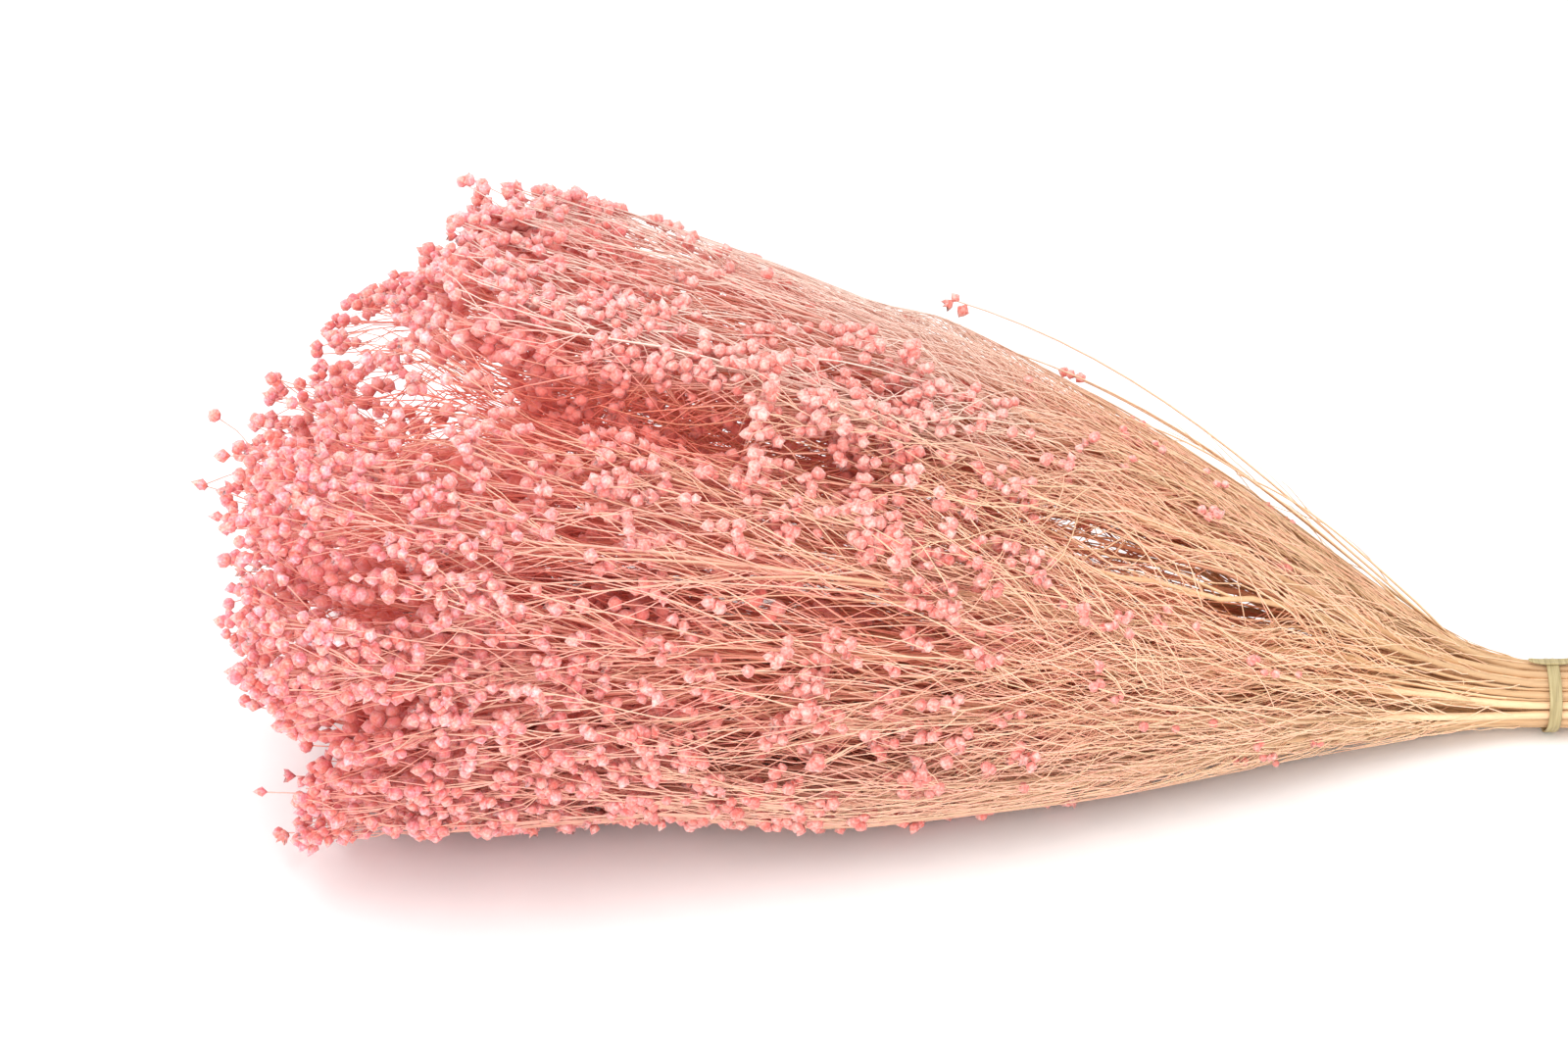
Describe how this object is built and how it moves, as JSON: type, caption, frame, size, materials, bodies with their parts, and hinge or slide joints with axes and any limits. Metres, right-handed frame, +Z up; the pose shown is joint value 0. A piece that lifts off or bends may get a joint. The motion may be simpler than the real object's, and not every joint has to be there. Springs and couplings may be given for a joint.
{
  "type": "preserved broom bloom",
  "caption": "Lying bunch of dried broom bloom: thin stems fan out from a reed tie into a wide head of small buds on hair-thin stalks, with short cut stems past the tie",
  "frame": {"origin": "middle of the underside of the part's box, on the surface that the bunch lies on", "axes": "X along the bunch, head toward -X and cut stems toward +X; Y across it, the pictured side at -Y; Z up"},
  "size_m": [0.5392, 0.266, 0.1812],
  "materials": {
    "bloom_pale": "matt dried stems and buds, pale pink",
    "bloom_rose": "matt dried stems and buds, rose pink",
    "bloom_coral": "matt dried stems and buds, coral pink",
    "reed": "dry flat reed with a slight sheen"
  },
  "bodies": {
    "root": {"bloom_spray_01": "bloom_rose", "bloom_spray_02": "bloom_coral", "bloom_spray_03": "bloom_pale", "bloom_spray_04": "bloom_rose", "bloom_spray_05": "bloom_coral", "bloom_spray_06": "bloom_pale", "bloom_spray_07": "bloom_rose", "bloom_spray_08": "bloom_coral", "bloom_spray_09": "bloom_pale", "bloom_spray_10": "bloom_rose", "bloom_spray_11": "bloom_coral", "bloom_spray_12": "bloom_pale", "bloom_spray_13": "bloom_rose", "bloom_spray_14": "bloom_coral", "bloom_spray_15": "bloom_pale", "bloom_spray_16": "bloom_rose", "bloom_spray_17": "bloom_coral", "bloom_spray_18": "bloom_pale", "bloom_spray_19": "bloom_rose", "bloom_spray_20": "bloom_coral", "bloom_spray_21": "bloom_pale", "bloom_spray_22": "bloom_rose", "bloom_spray_23": "bloom_coral", "bloom_spray_24": "bloom_pale", "bloom_spray_25": "bloom_rose", "bloom_spray_26": "bloom_coral", "bloom_spray_27": "bloom_pale", "bloom_spray_28": "bloom_rose", "bloom_spray_29": "bloom_coral", "bloom_spray_30": "bloom_pale", "bloom_spray_31": "bloom_rose", "bloom_spray_32": "bloom_coral", "bloom_spray_33": "bloom_pale", "bloom_spray_34": "bloom_rose", "bloom_spray_35": "bloom_coral", "bloom_spray_36": "bloom_pale", "bloom_spray_37": "bloom_rose", "reed_tie": "reed"}
  },
  "joints": []
}
